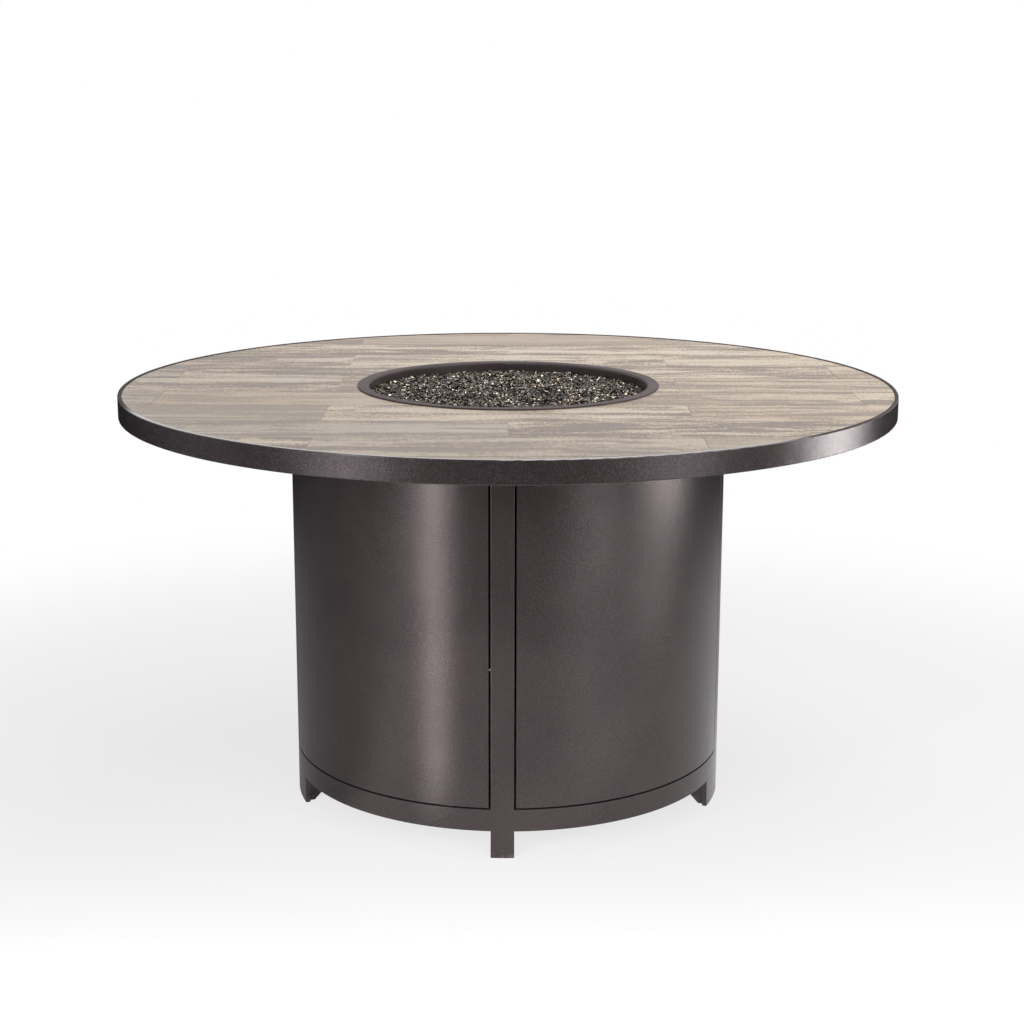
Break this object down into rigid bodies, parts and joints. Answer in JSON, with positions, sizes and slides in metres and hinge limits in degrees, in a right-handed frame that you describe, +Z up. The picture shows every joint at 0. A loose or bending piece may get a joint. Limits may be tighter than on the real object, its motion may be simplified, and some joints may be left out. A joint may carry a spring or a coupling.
{
  "type": "fire pit table",
  "caption": "Round gas fire pit table: plank-tiled top in a metal rim, sunken burner bowl with glass bed, and a curved-panel drum base with a hinged access door.",
  "frame": {"origin": "on the floor under the centre of the table", "axes": "+Z up; -Y towards the front post; +X to the right seen from the front"},
  "size_m": [1.3714, 1.3716, 0.7438],
  "materials": {
    "powder_coat": "fine hammered bronze powder coat",
    "planks": "matt wood-look porcelain",
    "grout": "matt",
    "cement_board": "matt",
    "bowl_metal": "dark bronze, heat resistant",
    "burner_steel": "satin",
    "fire_glass": "crushed, reflective",
    "insulator": "matt",
    "sheet_steel": "zinc plated",
    "brass_fittings": "plain",
    "black_plastic": "matt",
    "magnet": "matt"
  },
  "bodies": {
    "table": {"top_rim": "powder_coat", "top_hub_ring": "powder_coat", "top_spokes": "powder_coat", "lower_ring": "powder_coat", "upper_ring": "powder_coat", "front_post": "powder_coat", "rear_post": "powder_coat", "left_pillar": "powder_coat", "right_pillar": "powder_coat", "left_foot": "powder_coat", "right_foot": "powder_coat", "foot_gussets": "powder_coat", "panel_front_left": "powder_coat", "panel_front_right": "powder_coat", "panel_rear_left": "powder_coat", "panel_clips": "powder_coat", "top_tabs": "powder_coat", "control_bracket": "powder_coat", "base_shelf": "powder_coat", "tank_ring": "powder_coat", "hinge_fixed_leaves": "powder_coat", "hinge_pins": "powder_coat", "tile_row_1": "planks", "tile_row_2": "planks", "tile_row_3": "planks", "tile_row_4": "planks", "tile_row_5": "planks", "tile_row_6": "planks", "tile_row_7": "planks", "tile_row_8": "planks", "tile_row_9": "planks", "tile_slivers": "planks", "tile_grout": "grout", "backer_board": "cement_board", "burner_bowl": "bowl_metal", "ring_burner": "burner_steel", "burner_locknut": "burner_steel", "fire_glass": "fire_glass", "spark_electrode": "insulator", "electrode_clip": "burner_steel", "heat_shield": "sheet_steel", "shield_standoffs": "sheet_steel", "air_mixer": "brass_fittings", "gas_elbow": "brass_fittings", "gas_pipe": "brass_fittings", "flare_nuts": "brass_fittings", "bracket_screws": "sheet_steel", "panel_screws": "sheet_steel", "top_bolts": "sheet_steel", "gas_valve": "brass_fittings", "igniter_module": "black_plastic", "igniter_bezel": "sheet_steel", "catch_magnet": "magnet"},
    "door": {"door_panel": "powder_coat", "hinge_door_leaves": "powder_coat", "catch_strike": "sheet_steel", "door_pull": "powder_coat"},
    "knob": {"valve_stem": "sheet_steel", "control_knob": "black_plastic"},
    "button": {"igniter_button": "black_plastic"}
  },
  "joints": [
    {"name": "door_hinge", "type": "hinge", "parent": "table", "child": "door", "pos_m": [0.38016, 0.09293, 0.37], "axis": [0, 0, -1], "range_deg": [0, 110]},
    {"name": "knob_turn", "type": "hinge", "parent": "table", "child": "knob", "pos_m": [0.21213, 0.21213, 0.5834], "axis": [0.7071, 0.7071, 0], "range_deg": [0, 90]},
    {"name": "button_press", "type": "slide", "parent": "table", "child": "button", "axis": [-0.7071, -0.7071, 0], "range_m": [0, 0.004], "stiffness_N_per_m": 800}
  ]
}
